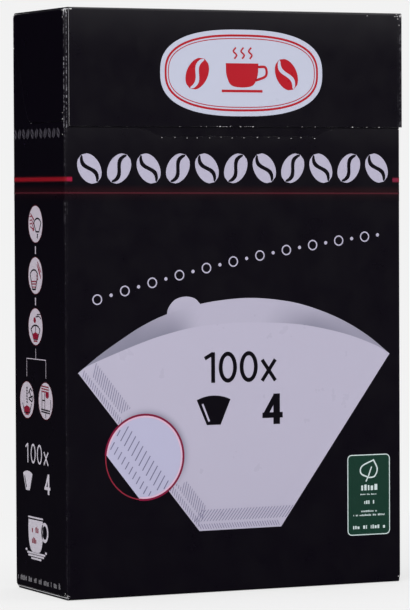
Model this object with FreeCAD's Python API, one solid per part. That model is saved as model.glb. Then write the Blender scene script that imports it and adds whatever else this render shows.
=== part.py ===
import FreeCAD, Part
import math
import os

os.makedirs("parts", exist_ok=True)

# Flip-top folding carton of paperboard that holds a pack of cone coffee filters.
# Millimetres. Origin: middle of the tube's footprint, on the surface that it stands on.
# X runs to the right of the printed front panel, Y to the back panel, Z up.

# Carton tube
width = 131.5
depth = 47.5
height = 206.0
board = 0.5
fold_radius = 0.3
glue_lap = 12.0
lap_play = 1.0

# Flaps folded over the two ends
major_flap_short = 1.5
major_flap_inset = 0.6
dust_flap_length = 38.0
dust_flap_taper = 5.0
dust_flap_play = 0.3

# Second front layer of the lid, glued on a little askew
flap_reveal = 0.8
flap_inset = 0.6
flap_shift = 1.2

# Tear line that parts the lid from the body, measured down from the top
lid_front_drop = 42.0
lid_side_drop = 39.7
lid_back_drop = 12.8
corner_step = 1.0
tear_gap = 0.25
slant_run = 14.1
slant_ease = 3.0
slant_poles = ((0.47, 0.24), (0.36, 0.72))
thumb_width = 74.0
thumb_flat = 60.0
thumb_depth = 3.1
thumb_radius = 9.0
thumb_x = 1.0

# Pack of cone filters, turned a quarter so that their wide edge stands upright
filter_arch = 38.4
filter_foot = 51.0
foot_radius = 6.0
shoulder_radius = 2.0
tab_radius = 10.6
tab_over_crown = 1.0
tab_offset = 31.5
pack_face_play = 0.3
pack_end_play = 1.05
pack_headroom = 13.3
pack_lift = 0.2
leaf_count = 10
leaf_groove = 0.5
leaf_shy = 0.6

# Worked out from the values above
bend = fold_radius + board
front_y = -depth / 2
back_y = depth / 2
side_x = width / 2
floor_z = 3 * board
low_fold_z = floor_z + bend
high_fold_z = height - 2 * board - bend
front_tear_z = height - lid_front_drop
side_tear_z = height - lid_side_drop
crease_z = height - lid_back_drop
flap_low_z = front_tear_z + flap_reveal
filter_span = height - 2 * board - pack_headroom - floor_z - pack_lift
filter_height = width - 2 * board - 2 * pack_end_play - tab_over_crown
filter_shoulder = filter_height - filter_arch
margin = 5.0


def on_plan(a, b):
    return FreeCAD.Vector(a, b, 0)


def on_side(a, b):
    return FreeCAD.Vector(0, a, b)


def on_front(a, b):
    return FreeCAD.Vector(a, 0, b)


def rounded_edges(corners, place):
    """Edges of a closed outline through (a, b, radius) corners; radius 0 stays sharp."""
    points = [place(a, b) for a, b, radius in corners]
    spans = []
    for index, here in enumerate(points):
        radius = corners[index][2]
        back = (points[index - 1] - here).normalize()
        ahead = (points[(index + 1) % len(points)] - here).normalize()
        if radius == 0:
            spans.append((here, None, here))
            continue
        half = back.getAngle(ahead) / 2
        reach = radius / math.tan(half)
        inward = (back + ahead).normalize()
        middle = here + inward * (radius / math.sin(half) - radius)
        spans.append((here + back * reach, middle, here + ahead * reach))
    edges = []
    for index, (start, middle, end) in enumerate(spans):
        if middle is not None:
            edges.append(Part.Arc(start, middle, end).toShape())
        edges.append(Part.makeLine(end, spans[(index + 1) % len(spans)][0]))
    return edges


def prism(corners, place, start, reach):
    """Solid drawn from a rounded outline, moved to start and extruded by reach."""
    face = Part.Face(Part.Wire(rounded_edges(corners, place)))
    face.translate(start)
    return face.extrude(reach)


def plan_prism(corners, low, high):
    """Upright solid over an outline in plan."""
    return prism(corners, on_plan, FreeCAD.Vector(0, 0, low), FreeCAD.Vector(0, 0, high - low))


def side_prism(corners, low, high):
    """Solid with an outline seen from the side, running across the width."""
    return prism(corners, on_side, FreeCAD.Vector(low, 0, 0), FreeCAD.Vector(high - low, 0, 0))


def front_prism(corners, low, high):
    """Solid with an outline seen from the front, running through the depth."""
    return prism(corners, on_front, FreeCAD.Vector(0, low, 0), FreeCAD.Vector(0, high - low, 0))


def block(low, high):
    """Box between two opposite corners."""
    size = [high[axis] - low[axis] for axis in range(3)]
    return Part.makeBox(size[0], size[1], size[2], FreeCAD.Vector(*low))


def tube(low, high):
    """The four walls of the carton with their rounded upright folds."""

    def ring(inset, radius):
        x = side_x - inset
        y = back_y - inset
        return [(-x, -y, radius), (x, -y, radius), (x, y, radius), (-x, y, radius)]

    outside = plan_prism(ring(0, bend), low, high)
    return outside.cut(plan_prism(ring(board, fold_radius), low, high))


def both_sides(shape):
    """The shape and its mirror image on the other side of the carton."""
    return [shape, shape.mirror(FreeCAD.Vector(0, 0, 0), FreeCAD.Vector(1, 0, 0))]


def dust_flap(wall_z, outer_z, inner_z):
    """Flap folded in from a side wall, tapered towards its free end."""
    free_x = side_x - dust_flap_length
    turn = -1 if outer_z > inner_z else 1
    strip = front_prism(
        [
            (side_x, wall_z, 0),
            (side_x, outer_z, bend),
            (free_x, outer_z, 0),
            (free_x, outer_z + turn * board, 0),
            (side_x - board, outer_z + turn * board, fold_radius),
            (side_x - board, wall_z, 0),
        ],
        front_y,
        back_y,
    )
    edge = back_y - board - dust_flap_play
    taper_x = side_x - bend
    outline = [
        (side_x + margin, -edge, 0),
        (side_x + margin, edge, 0),
        (taper_x, edge, 0),
        (free_x, edge - dust_flap_taper, 0),
        (free_x, -edge + dust_flap_taper, 0),
        (taper_x, -edge, 0),
    ]
    low = min(wall_z, inner_z) - margin
    high = max(wall_z, inner_z) + margin
    return both_sides(strip.common(plan_prism(outline, low, high)))


def bottom_flap(wall_y, free_y, low):
    """Major flap folded in from the front or the back wall, lying at height low."""
    turn = 1 if wall_y < free_y else -1
    x = side_x - major_flap_inset
    return side_prism(
        [
            (wall_y, low_fold_z, 0),
            (wall_y, low, bend),
            (free_y, low, 0),
            (free_y, low + board, 0),
            (wall_y + turn * board, low + board, fold_radius),
            (wall_y + turn * board, low_fold_z, 0),
        ],
        -x,
        x,
    )


def glue_seam(low, high):
    """Lap inside the back wall's left edge that closes the tube."""
    x = -side_x + board
    return block((x, back_y - 2 * board, low), (x + glue_lap, back_y - board, high))


def side_tear(shift):
    """Solid across the width, above the side panels' tear line and its slant to the crease."""
    end = FreeCAD.Vector(0, back_y - bend - shift, crease_z + shift)
    foot = FreeCAD.Vector(0, back_y - slant_run - shift, side_tear_z + shift)
    start = foot - FreeCAD.Vector(0, slant_ease, 0)
    rise = end - foot
    poles = [start, foot]
    for along, up in slant_poles:
        poles.append(foot + FreeCAD.Vector(0, rise.y * along, rise.z * up))
    poles.append(end)
    slant = Part.BezierCurve()
    slant.setPoles(poles)
    path = [
        end,
        on_side(back_y + margin, end.z),
        on_side(back_y + margin, height + margin),
        on_side(front_y - margin, height + margin),
        on_side(front_y - margin, start.z),
        start,
    ]
    edges = [Part.makeLine(path[index], path[index + 1]) for index in range(len(path) - 1)]
    face = Part.Face(Part.Wire([slant.toShape()] + edges))
    face.translate(FreeCAD.Vector(-side_x - margin, 0, 0))
    return face.extrude(FreeCAD.Vector(width + 2 * margin, 0, 0))


def front_tear(shift):
    """Solid at the front wall, above its lower tear line with the dip for the thumb tab."""
    x = side_x + margin
    high = front_tear_z + shift
    low = high - thumb_depth
    outline = [
        (-x, height + margin, 0),
        (-x, high, 0),
        (thumb_x - thumb_width / 2, high, thumb_radius),
        (thumb_x - thumb_flat / 2, low, thumb_radius),
        (thumb_x + thumb_flat / 2, low, thumb_radius),
        (thumb_x + thumb_width / 2, high, thumb_radius),
        (x, high, 0),
        (x, height + margin, 0),
    ]
    return front_prism(outline, front_y - margin, front_y + corner_step - shift)


def above_tear(shift):
    """Everything that lifts with the lid, shifted clear of the body by the tear gap."""
    return side_tear(shift).fuse(front_tear(shift))


def carton_body():
    """Open-topped lower part with its glued bottom."""
    walls = tube(low_fold_z, height).cut(above_tear(0))
    pieces = [
        bottom_flap(front_y, back_y - major_flap_short, 0),
        bottom_flap(back_y, front_y + board + major_flap_short, board),
        glue_seam(floor_z + lap_play, crease_z).cut(above_tear(0)),
    ]
    pieces += dust_flap(low_fold_z, 2 * board, floor_z)
    return walls.multiFuse(pieces).removeSplitter()


def top_and_front_flap():
    """Top panel hinged on the back wall, folded down in front as the glued outer layer."""
    strip = side_prism(
        [
            (back_y, high_fold_z, 0),
            (back_y, height, bend),
            (front_y - board, height, bend),
            (front_y - board, flap_low_z, 0),
            (front_y, flap_low_z, 0),
            (front_y, height - board, fold_radius),
            (back_y - board, height - board, fold_radius),
            (back_y - board, high_fold_z, 0),
        ],
        -side_x - margin,
        side_x + margin,
    )
    x = side_x - flap_inset
    outline = [
        (-x, back_y + margin, 0),
        (-x, back_y, 0),
        (-x + flap_shift, front_y, 0),
        (-x + flap_shift, front_y - margin, 0),
        (x + flap_shift, front_y - margin, 0),
        (x + flap_shift, front_y, 0),
        (x, back_y, 0),
        (x, back_y + margin, 0),
    ]
    return strip.common(plan_prism(outline, 0, height + margin))


def carton_lid():
    """Flip-up top of the carton with its two glued front layers."""
    walls = tube(side_tear_z - margin, high_fold_z).common(above_tear(tear_gap))
    inner_front = block(
        (-side_x + bend, front_y, high_fold_z),
        (side_x - bend, front_y + board, height - board - fold_radius),
    )
    lap = glue_seam(crease_z, high_fold_z - lap_play).common(above_tear(tear_gap))
    pieces = [top_and_front_flap(), inner_front, lap]
    pieces += dust_flap(high_fold_z, height - board, height - 2 * board)
    return walls.multiFuse(pieces).removeSplitter()


def filter_fan():
    """Flat cone filter seen from its face: foot, two slanting seams and arched mouth."""
    half_span = filter_span / 2
    half_foot = filter_foot / 2
    foot = [on_front(0, -half_foot), on_front(0, half_foot)]
    shoulders = [on_front(filter_shoulder, half_span), on_front(filter_shoulder, -half_span)]
    crown = on_front(filter_height, 0)
    edges = [
        Part.makeLine(foot[0], foot[1]),
        Part.makeLine(foot[1], shoulders[0]),
        Part.Arc(shoulders[0], crown, shoulders[1]).toShape(),
        Part.makeLine(shoulders[1], foot[0]),
    ]
    fan = Part.Face(Part.Wire(edges)).extrude(on_side(board, 0))
    for corners, radius in ((foot, foot_radius), (shoulders, shoulder_radius)):
        middles = [corner + on_side(board / 2, 0) for corner in corners]
        sharp = [
            edge
            for edge in fan.Edges
            if min(edge.CenterOfMass.distanceToPoint(middle) for middle in middles) < board / 10
        ]
        fan = fan.makeFillet(radius, sharp)
    return fan


def filter_face():
    """Outline of a filter with the round tab that stands proud of its mouth."""
    centre = on_front(filter_height + tab_over_crown - tab_radius, tab_offset)
    tab = Part.makeCylinder(tab_radius, board, centre, on_side(1, 0))
    filter_leaf = filter_fan().fuse(tab).removeSplitter()
    return min(filter_leaf.Faces, key=lambda face: face.CenterOfMass.y)


def filter_stack():
    """The whole pack as one solid, seated on the carton's floor, its leaves parted by grooves."""
    low_y = front_y + board + pack_face_play
    thickness = back_y - 2 * board - pack_face_play - low_y
    outline = filter_face()
    pitch = (thickness + leaf_groove) / leaf_count
    leaves = []
    for index in range(leaf_count):
        leaf = outline.extrude(on_side(pitch - leaf_groove, 0))
        leaf.translate(on_side(index * pitch, 0))
        leaves.append(leaf)
    core = outline.makeOffset2D(-leaf_shy).extrude(on_side(thickness, 0))
    pack = core.multiFuse(leaves)
    seat = FreeCAD.Vector(-side_x + board + pack_end_play, low_y, floor_z + pack_lift)
    box = pack.BoundBox
    pack.translate(seat - FreeCAD.Vector(box.XMin, box.YMin, box.ZMin))
    return pack


for name, make in (
    ("carton_body", carton_body),
    ("carton_lid", carton_lid),
    ("filter_stack", filter_stack),
):
    shape = make()
    print(name, len(shape.Solids), shape.isValid(), round(shape.Volume), shape.BoundBox)
    shape.exportStep("parts/" + name + ".step")
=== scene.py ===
"""A carton of paper coffee filters with a tear-open flip top, in a small pale studio.

Lengths are in millimetres until a mesh is made. X runs along the front, Y to the back, Z up.
Materials work in metres, as Object coordinates do.
"""
import math

import bpy
import numpy as np
from mathutils import Matrix


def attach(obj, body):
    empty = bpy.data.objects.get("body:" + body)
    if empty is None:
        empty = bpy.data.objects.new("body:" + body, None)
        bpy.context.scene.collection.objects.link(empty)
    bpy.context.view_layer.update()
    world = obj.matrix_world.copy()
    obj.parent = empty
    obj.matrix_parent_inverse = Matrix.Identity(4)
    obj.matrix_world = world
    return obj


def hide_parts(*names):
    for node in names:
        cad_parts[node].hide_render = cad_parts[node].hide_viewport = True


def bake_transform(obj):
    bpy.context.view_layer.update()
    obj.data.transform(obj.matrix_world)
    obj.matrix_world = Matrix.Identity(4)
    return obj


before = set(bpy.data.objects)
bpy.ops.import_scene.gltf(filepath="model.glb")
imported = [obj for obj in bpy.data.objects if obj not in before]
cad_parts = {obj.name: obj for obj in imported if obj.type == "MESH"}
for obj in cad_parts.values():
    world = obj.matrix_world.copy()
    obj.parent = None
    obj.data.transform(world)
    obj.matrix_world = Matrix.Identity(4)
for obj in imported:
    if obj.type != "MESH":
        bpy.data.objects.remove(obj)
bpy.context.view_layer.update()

MM = 0.001
HALF_WIDTH = 65.75
HALF_DEPTH = 23.75
HEIGHT = 206.0
BOARD = 0.5
FOLD = 0.8
FRONT_TEAR = 164.0
CREASE = 193.2
FLAP_FRONT = HALF_DEPTH + BOARD
FLAP_LOW = 164.8
THUMB = ((-36.0, 164.0), (-29.0, 160.9), (31.0, 160.9), (38.0, 164.0))

# Printed films: the lift of the lowest, the thickness of each, and a small step that keeps the
# patches of one film out of one plane.
FIRST_FILM = 0.02
FILM = 0.03
PATCH_STEP = 0.0012
PATCH_CYCLE = 12

# The red stripe: its middle's height, its slope, and where it meets the front's folds.
STRIPE = 146.12
STRIPE_RISE = 0.0052
STRIPE_END = 64.95
LINE_RISE = 0.006

# The pack: how many filters, the depth they fill, and where the first one stands.
FILTERS = 100
PACK_DEPTH = 45.2
PACK_FRONT = -22.85
SHEET = 0.16

# Board under varnish, in metres: how far wear reaches from a fold, the height above which the
# top's proud layers are inked, the plane that the front's faces lie before, and the front's lean.
WEAR_SPREAD = 0.0016
INKED_TOP = 0.20556
FRONT_PLANE = -0.0232
CROWN_LEAN = -3.2
VARNISH_SPECULAR = 0.36

PALE_ROOM = (0.888, 0.888, 0.888)
INK_BLACK = (0.0024, 0.0012, 0.0046)
STRIPE_EDGE = (0.020, 0.0016, 0.0050)
FILTER_PRINT = (0.466, 0.439, 0.561)

# Each ink: its material's name, its colour, and where it fades, the colour of full tone.
INK_TABLE = {
    "pale": ("pale_print", (0.455, 0.430, 0.555)),
    "side": ("side_pale_print", (0.515, 0.462, 0.540)),
    "ring": ("detail_ring_print", (0.205, 0.003, 0.038)),
    "thin_ring": ("detail_ring_thin_print", (0.235, 0.014, 0.036)),
    "lens": ("detail_paper_print", (0.460, 0.450, 0.620)),
    "halo": ("halo_print", (0.68, 0.46, 0.60)),
    "side_white": ("side_white_print", (0.570, 0.535, 0.610)),
    # Painted light and shade: the stripe is one red ink, given a lit red on the front's left end and
    # shaded reds on its right end and round the sides and back.
    "side_red": ("side_stripe_shaded_print", (0.224, 0.0021, 0.0092), STRIPE_EDGE),
    "left_red": ("left_stripe_lit_print", (0.350, 0.0041, 0.0400), STRIPE_EDGE),
    "right_red": ("right_stripe_shaded_print", (0.206, 0.0120, 0.0430), STRIPE_EDGE),
    "dark_red": ("dark_red_print", (0.075, 0.005, 0.012)),
    "paper": ("filter_picture_print", FILTER_PRINT, (0.228, 0.221, 0.300)),
    "crimp": ("crimp_print", FILTER_PRINT, (0.145, 0.140, 0.245)),
    "badge": ("plaque_print", (0.520, 0.540, 0.665)),
    "red": ("red_print", (0.43, 0.007, 0.017)),
    "dim_red": ("dim_red_print", (0.062, 0.008, 0.015)),
    "ember": ("ember_print", INK_BLACK, (0.015, 0.0022, 0.0050)),
    "black": ("black_print", INK_BLACK),
    "grey": ("grey_print", (0.057, 0.052, 0.067)),
    "small": ("small_marks_print", (0.36, 0.35, 0.38)),
    "maroon": ("maroon_print", (0.23, 0.005, 0.026)),
    "green": ("green_print", (0.0075, 0.040, 0.026)),
    "white": ("white_print", (0.60, 0.70, 0.70)),
}

# The camera: its lens in mm, its place in metres, and its azimuth, elevation and roll in degrees.
LENS = 201.7
EYE = (-0.5218, -1.1168, 0.1419)
EYE_ANGLES = (-24.99, 1.90, -0.26)

# Softboxes: name, place and size in metres, and watts. All are turned to LAMP_AIM.
LAMP_AIM = (0.0, 0.0, 0.1)
LAMPS = (("key_box", (-1.5, -1.5, 1.5), (1.2, 1.2), 29.5),
         ("fill_box", (1.6, -1.3, 1.2), (0.9, 1.0), 8.0),
         ("top_box", (0.0, 0.2, 1.9), (1.2, 1.2), 12.0))

# Tick rows along the pictured filter's seams: start, end, offset, length, how many, and lean.
CRIMP_ROWS = (((-59.7, 77.3), (-15.9, 23.2), 0.5, 1.9, 63, -0.75),
              ((-58.0, 75.3), (-16.5, 24.0), 3.3, 4.1, 60, -0.75),
              ((-14.2, 22.0), (16.6, 22.2), 0.6, 1.8, 32, -0.5),
              ((-16.8, 22.0), (18.9, 22.2), 3.3, 4.1, 31, 0.78))


def seeded(number):
    """A random generator that gives the same numbers each run."""
    return np.random.default_rng(number)


class Wires:
    """Short hands for the nodes of one tree: each gives back the socket that comes out."""

    def __init__(self, tree):
        self.tree = tree

    def node(self, kind, **settings):
        made = self.tree.nodes.new(kind)
        for name, value in settings.items():
            setattr(made, name, value)
        return made

    def put(self, socket, value):
        """Links a socket, or sets a value. A colour socket gets its full alpha here."""
        if isinstance(value, bpy.types.NodeSocket):
            self.tree.links.new(value, socket)
        elif value is not None:
            socket.default_value = (*value, 1.0) if socket.type == "RGBA" else value

    def math(self, operation, a, b=None, c=None):
        made = self.node("ShaderNodeMath", operation=operation)
        for socket, value in zip(made.inputs, (a, b, c)):
            self.put(socket, value)
        return made.outputs[0]

    def times(self, product, *more):
        for value in more:
            product = self.math("MULTIPLY", product, value)
        return product

    def scaled(self, a, b, c):
        """a times b, plus c."""
        return self.math("MULTIPLY_ADD", a, b, c)

    def minus(self, a, b):
        return self.math("SUBTRACT", a, b)

    def most(self, a, b):
        return self.math("MAXIMUM", a, b)

    def vector(self, operation, a, b=None, out="Vector"):
        made = self.node("ShaderNodeVectorMath", operation=operation)
        self.put(made.inputs[0], a)
        self.put(made.inputs[1], b)
        return made.outputs[out]

    def split(self, vector):
        made = self.node("ShaderNodeSeparateXYZ")
        self.put(made.inputs[0], vector)
        return made.outputs

    def noise(self, vector, scale, detail=1.0, roughness=0.5):
        made = self.node("ShaderNodeTexNoise")
        for name, value in (("Vector", vector), ("Scale", scale), ("Detail", detail),
                            ("Roughness", roughness)):
            self.put(made.inputs[name], value)
        return made.outputs[0]

    def ramp(self, value, low, high, to_low=0.0, to_high=1.0):
        made = self.node("ShaderNodeMapRange", interpolation_type="SMOOTHSTEP")
        for name, entry in (("Value", value), ("From Min", low), ("From Max", high),
                            ("To Min", to_low), ("To Max", to_high)):
            self.put(made.inputs[name], entry)
        return made.outputs[0]

    def blend(self, share, a, b):
        made = self.node("ShaderNodeMix", data_type="RGBA")
        for index, value in ((0, share), (6, a), (7, b)):
            self.put(made.inputs[index], value)
        return made.outputs[2]

    def group(self, name, **values):
        made = self.node("ShaderNodeGroup", node_tree=EFFECTS[name])
        for label, value in values.items():
            self.put(made.inputs[label.replace("_", " ")], value)
        return made.outputs

    def mix_shaders(self, share, first, second):
        made = self.node("ShaderNodeMixShader")
        for socket, value in zip(made.inputs, (share, first, second)):
            self.put(socket, value)
        return made.outputs[0]

    def emission(self, rgb):
        made = self.node("ShaderNodeEmission")
        self.put(made.inputs["Color"], rgb)
        return made.outputs[0]

    def surface(self, shader, base, rough, specular, height=None):
        """Feeds a Principled shader, with a relief whose height is in metres."""
        entries = {"Base Color": base, "Roughness": rough, "Specular IOR Level": specular}
        for name, value in entries.items():
            self.put(shader.inputs[name], value)
        if height is not None:
            bump = self.node("ShaderNodeBump")
            self.put(bump.inputs["Distance"], 1.0)
            self.put(bump.inputs["Height"], height)
            self.put(shader.inputs["Normal"], bump.outputs[0])


def effect(name, vectors, numbers, outputs):
    """An empty node group with named sockets, and its in and out nodes. It puts out numbers."""
    tree = bpy.data.node_groups.new(name, "ShaderNodeTree")
    for direction, kind, labels in (("INPUT", "Vector", vectors), ("INPUT", "Float", numbers),
                                    ("OUTPUT", "Float", outputs)):
        for label in labels:
            tree.interface.new_socket(name=label, in_out=direction, socket_type="NodeSocket" + kind)
    wires = Wires(tree)
    return tree, wires, wires.node("NodeGroupInput").outputs, wires.node("NodeGroupOutput").inputs


def varnish_relief():
    """Board under gloss varnish: slow waves of the panel, orange peel, and the fibres below it."""
    tree, w, given, made = effect("varnish_relief", ["Vector"], [], ["Height", "Mottle", "Sheen"])
    waves = w.noise(given["Vector"], 22.0, 1.0)
    peel = w.noise(given["Vector"], 750.0, 2.0)
    fibre = w.noise(given["Vector"], 4200.0, 2.0, 0.6)
    height = w.scaled(waves, 0.00010, w.times(peel, 0.0000018))
    w.put(made["Height"], w.scaled(fibre, 0.0000008, height))
    w.put(made["Mottle"], w.scaled(peel, 0.5, w.times(fibre, 0.5)))
    w.put(made["Sheen"], w.noise(given["Vector"], 110.0, 3.0, 0.6))
    return tree


def fold_wear():
    """Wear along a carton's edges. The distance to the nearest edge is the middle one of the
    three distances to the faces; fine noise breaks the ink where that distance is small.
    Score is the fold's pair of pressed lines, in dots that fade to the right and low down."""
    tree, w, given, made = effect("fold_wear", ["Vector", "Centre", "Half Size"], ["Spread", "Amount"],
                                  ["Worn", "Crease", "Score"])
    spot = given["Vector"]
    away = w.vector("ABSOLUTE", w.vector("SUBTRACT", spot, given["Centre"]))
    x, y, z = w.split(w.vector("SUBTRACT", given["Half Size"], away))
    high = w.most(x, y)
    edge = w.most(w.math("MINIMUM", x, y), w.math("MINIMUM", high, z))
    near = w.minus(1.0, w.math("DIVIDE", edge, given["Spread"]))
    near_corner = w.ramp(w.most(high, z), 0.0045, 0.0006)
    speck = w.noise(spot, 1500.0, 3.0, 0.65)
    patch = w.noise(spot, 160.0, 2.0, 0.6)
    reach = w.scaled(near_corner, 0.30, given["Amount"])
    level = w.math("ADD", w.scaled(patch, 0.35, w.times(speck, 0.65)), reach)
    w.put(made["Worn"], w.times(w.ramp(level, 0.78, 0.86), w.ramp(near, 0.0, 0.35)))
    w.put(made["Crease"], w.ramp(near, 0.0, 1.0))
    beside = w.ramp(w.math("ABSOLUTE", w.minus(high, 0.00095)), 0.0003, 0.00005, 0.0, 0.35)
    line = w.most(beside, w.ramp(high, 0.0006, 0.0002))
    across, _, up = w.split(spot)
    left = w.ramp(across, -0.01, 0.01, 1.0, 0.07)
    upper = w.ramp(up, 0.08, 0.15, 0.35, 1.0)
    dots = w.ramp(w.noise(spot, 1100.0, 2.0, 0.6), 0.46, 0.60)
    dashes = w.ramp(w.noise(spot, 120.0, 2.0), 0.40, 0.62)
    w.put(made["Score"], w.times(line, left, upper, dots, w.scaled(dashes, 0.7, 0.3)))
    return tree


def ink_side():
    """1 on the printed side of the board, 0 on its cut edges and inside. Outwards is taken from
    a rounded box, and a face is printed if its normal turns that way. The ink's black also reaches
    a little way over the cut, by the lip: partly ink that the knife draws over, partly painted shade
    on the cut edge. The lowest flap, below 0.49 mm, is inked, and the cut edge of the flap over it,
    from 0.61 to 0.83 mm up, is bare."""
    tree, w, given, made = effect("ink_side", ["Vector", "Normal", "Centre", "Core"],
                                  ["Reach", "Lip", "Inked Above"], ["Printed"])
    out = w.vector("SUBTRACT", given["Vector"], given["Centre"])
    past = w.vector("SUBTRACT", w.vector("ABSOLUTE", out), given["Core"])
    past = w.vector("MAXIMUM", past, (0, 0, 0))
    x, y, z = w.split(past)
    kept = w.times(x, w.math("LESS_THAN", x, given["Reach"]))
    joined = w.node("ShaderNodeCombineXYZ")
    for socket, value in zip(joined.inputs, (kept, y, z)):
        w.put(socket, value)
    way = w.vector("MULTIPLY", w.vector("NORMALIZE", joined.outputs[0]), w.vector("SIGN", out))
    facing = w.vector("DOT_PRODUCT", way, given["Normal"], out="Value")
    depth = w.minus(FOLD * MM, w.vector("LENGTH", past, out="Value"))
    # Painted shade: a cut edge within this reach of the outer face takes the ink's black, partly real
    # ink drawn over the cut.
    ink_lip_and_shade = w.math("LESS_THAN", w.math("ABSOLUTE", depth), given["Lip"])
    face = w.most(w.math("GREATER_THAN", facing, 0.5), ink_lip_and_shade)
    height = w.split(given["Vector"])[2]
    lowest = w.math("LESS_THAN", height, 0.00049)
    second = w.math("COMPARE", height, 0.00072, 0.00011)
    inner = w.math("COMPARE", x, 0.0002, 0.00008)
    face = w.times(face, w.minus(1.0, w.times(second, inner)))
    top = w.math("GREATER_THAN", height, given["Inked Above"])
    w.put(made["Printed"], w.most(w.most(face, lowest), top))
    return tree


def board_fibre():
    """Uncoated board: long soft fibres, a few darker flecks, and a felt-like height."""
    tree, w, given, made = effect("board_fibre", ["Vector"], [], ["Shade", "Fleck", "Height"])
    stretched = w.vector("MULTIPLY", given["Vector"], (1.0, 1.0, 0.45))
    long_fibre = w.noise(stretched, 1400.0, 4.0, 0.65)
    cloud = w.noise(given["Vector"], 90.0, 3.0, 0.6)
    w.put(made["Shade"], w.scaled(long_fibre, 0.6, w.times(cloud, 0.4)))
    w.put(made["Fleck"], w.ramp(w.noise(stretched, 620.0, 2.0), 0.70, 0.76))
    w.put(made["Height"], w.times(long_fibre, 0.000012))
    return tree


def seam_press():
    """Ticks pressed along the filter's long seam, as one mask: the paper's relief presses them in, and
    painted shade darkens their grooves. U runs along the seam's line and v inwards from it; tick rows
    lie at v 0.9 to 2.7 mm and 3.6 to 7.2 mm, a tick each 1.3 mm of u + v / 2."""
    tree, w, given, made = effect("seam_press", ["Vector"], [], ["Press"])
    at = w.vector("SUBTRACT", given["Vector"], (-0.0616, 0.0, 0.1215))
    u = w.vector("DOT_PRODUCT", at, (0.785, 0.0, 0.619), out="Value")
    v = w.vector("DOT_PRODUCT", at, (0.619, 0.0, -0.785), out="Value")
    tick = w.ramp(w.math("PINGPONG", w.scaled(v, 0.5, u), 0.00065), 0.00015, 0.00030, 1.0, 0.0)
    rows = w.most(w.math("COMPARE", v, 0.0018, 0.0009), w.math("COMPARE", v, 0.0054, 0.0018))
    inside = w.times(rows, w.math("LESS_THAN", u, 0.107))
    w.put(made["Press"], w.times(tick, inside))
    return tree


EFFECTS = {build.__name__: build()
           for build in (varnish_relief, fold_wear, ink_side, board_fibre, seam_press)}


def shading(name):
    """A new material: its wires, its Principled shader, and its coordinates."""
    material = bpy.data.materials.new(name)
    material.use_nodes = True
    w = Wires(material.node_tree)
    shader = material.node_tree.nodes["Principled BSDF"]
    return material, w, shader, w.node("ShaderNodeTexCoord").outputs


def carton_board(name, centre, half_size, reach, amount, scored, crown, ink_lip_and_shade):
    """Board printed black outside and bare inside, with worn folds and bare cut edges. The core is
    the box inside the folds, and reach is how far the side's ink lies out from it. Scored is the
    colour of the fold's broken lines. Above the crown's height the panel leans back a little:
    its relief falls with the square of the height past it. The last argument is how far the ink's
    black is laid over a cut edge, at the least and at the most: partly ink drawn over the cut, and
    partly painted shade that darkens the cut edge."""
    material, w, shader, place = shading(name)
    where = place["Object"]
    core = tuple(half - FOLD * MM for half in half_size)
    # Painted shade: the ragged reach of the ink's black over each cut edge, partly real ink drawn over
    # the cut.
    ragged_ink_lip_and_shade = w.ramp(w.noise(where, 800.0, 2.0), 0.42, 0.60, *ink_lip_and_shade)
    printed = w.group("ink_side", Vector=where, Normal=place["Normal"], Centre=centre, Core=core,
                      Reach=reach, Lip=ragged_ink_lip_and_shade, Inked_Above=INKED_TOP)["Printed"]
    wear = w.group("fold_wear", Vector=where, Centre=centre, Half_Size=half_size, Spread=WEAR_SPREAD,
                   Amount=amount)
    fibre = w.group("board_fibre", Vector=where)
    relief = w.group("varnish_relief", Vector=where)
    bare = w.blend(w.ramp(fibre["Shade"], 0.3, 0.7), (0.52, 0.51, 0.53), (0.72, 0.715, 0.74))
    bare = w.blend(w.times(fibre["Fleck"], 0.35), bare, (0.33, 0.31, 0.29))
    ink = w.blend(w.ramp(relief["Mottle"], 0.35, 0.65), INK_BLACK, (0.0028, 0.0015, 0.0052))
    ink = w.blend(w.times(wear["Crease"], 0.12), ink, (0.010, 0.008, 0.012))
    ink = w.blend(wear["Score"], ink, scored)
    ink = w.blend(wear["Worn"], ink, (0.46, 0.45, 0.46))
    matt = w.minus(1.0, printed)
    gloss = w.scaled(wear["Worn"], 0.4, w.ramp(relief["Sheen"], 0.25, 0.75, 0.27, 0.34))
    rough = w.most(gloss, w.times(matt, 0.88))
    height = w.scaled(matt, fibre["Height"], w.times(relief["Height"], printed))
    height = w.scaled(wear["Worn"], -0.00002, height)
    _, y, z = w.split(where)
    past = w.most(w.minus(z, crown), 0.0)
    lean = w.times(past, past, w.math("LESS_THAN", y, FRONT_PLANE))
    height = w.scaled(lean, CROWN_LEAN, height)
    w.surface(shader, w.blend(printed, bare, ink), rough, VARNISH_SPECULAR, height)
    return material


def print_ink(name, rgb, deep=None, sheen=0.30):
    """One printed ink under the varnish. The tone of the mesh fades it towards a deeper colour,
    and the fibres below mottle it a little."""
    material, w, shader, place = shading(name)
    relief = w.group("varnish_relief", Vector=place["Object"])
    rough = w.ramp(relief["Sheen"], 0.25, 0.75, sheen - 0.03, sheen + 0.04)
    tone = w.node("ShaderNodeAttribute", attribute_name="tone").outputs["Fac"]
    dark = tuple(0.988 * part for part in rgb)
    flat = w.blend(w.ramp(relief["Mottle"], 0.2, 0.8), dark, rgb)
    w.surface(shader, w.blend(tone, flat, deep or rgb), rough, VARNISH_SPECULAR, relief["Height"])
    return material


def bare_fibre(name):
    """Torn board fibre, as on a perforation's nicks."""
    material, w, shader, place = shading(name)
    fibre = w.group("board_fibre", Vector=place["Object"])
    base = w.blend(w.ramp(fibre["Shade"], 0.3, 0.7), (0.42, 0.40, 0.40), (0.72, 0.71, 0.72))
    w.surface(shader, base, w.ramp(fibre["Shade"], 0.2, 0.8, 0.8, 0.95), 0.2, fibre["Height"])
    return material


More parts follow.
